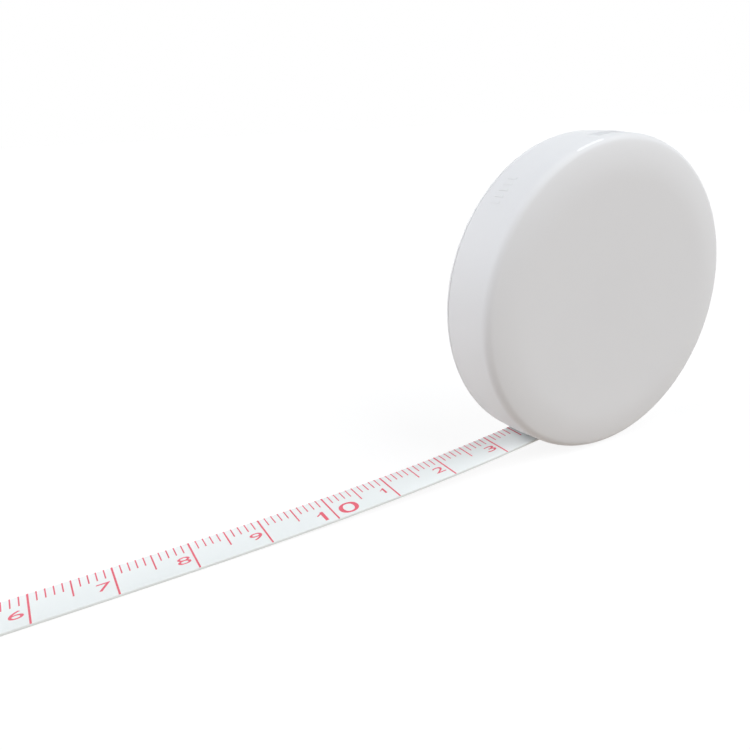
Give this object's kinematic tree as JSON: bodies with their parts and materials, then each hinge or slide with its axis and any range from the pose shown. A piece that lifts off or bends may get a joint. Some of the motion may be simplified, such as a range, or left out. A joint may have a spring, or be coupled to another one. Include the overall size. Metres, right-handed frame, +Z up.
{
  "type": "retractable tape measure",
  "caption": "Round push-button tape measure standing on its rim, with a stretch of narrow printed tape pulled out through the slot low on its rim.",
  "frame": {"origin": "on the floor, at the middle of the rim's lowest flat, under the drum's axis", "axes": "+X away from the pulled tape, which leaves towards -X; +Y along the drum's axis, towards the button; +Z up"},
  "size_m": [0.1739, 0.0129, 0.0504],
  "materials": {
    "case_white": "white moulded ABS, satin gloss",
    "button_white": "white moulded ABS, satin",
    "drum_plastic": "moulded acetal, matte",
    "slip_plastic": "thin slip sheet, smooth",
    "tape_print": "white coated glass-fibre tape with red print",
    "brake_rubber": "moulded rubber",
    "spring_steel": "tempered spring steel",
    "bright_steel": "plated steel"
  },
  "bodies": {
    "case": {"front_shell": "case_white", "rear_cover": "case_white", "arbor": "bright_steel", "arbor_screw": "bright_steel", "retaining_washer": "bright_steel", "front_washer": "slip_plastic", "rear_washer": "slip_plastic", "button_spring": "spring_steel"},
    "drum": {"drum": "drum_plastic", "spring_cover": "drum_plastic", "brake_seat_ring": "bright_steel", "mainspring": "spring_steel", "tape_anchor_rivet": "bright_steel", "tape_winding": "tape_print"},
    "tape_end": {"tape_blade": "tape_print", "end_clip": "bright_steel", "clip_rivet_left": "bright_steel", "clip_rivet_right": "bright_steel"},
    "button": {"push_button": "button_white", "brake_ring": "brake_rubber"}
  },
  "joints": [
    {"name": "tape_pull", "type": "slide", "parent": "case", "child": "tape_end", "axis": [-0.9998, 0, -0.0212], "range_m": [-0.12529, 0], "deforming": ["tape_blade"]},
    {"name": "drum_spin", "type": "hinge", "parent": "case", "child": "drum", "pos_m": [0, 0, 0.0252], "axis": [0, 1, 0], "range_deg": [-360, 0], "deforming": ["mainspring"]},
    {"name": "button_press", "type": "slide", "parent": "case", "child": "button", "axis": [0, -1, 0], "range_m": [0, 0.001], "stiffness_N_per_m": 1500, "deforming": ["button_spring"]}
  ],
  "couplings": [
    {"joint": "drum_spin", "follows": "tape_pull", "rad_per_m": 50.01}
  ]
}
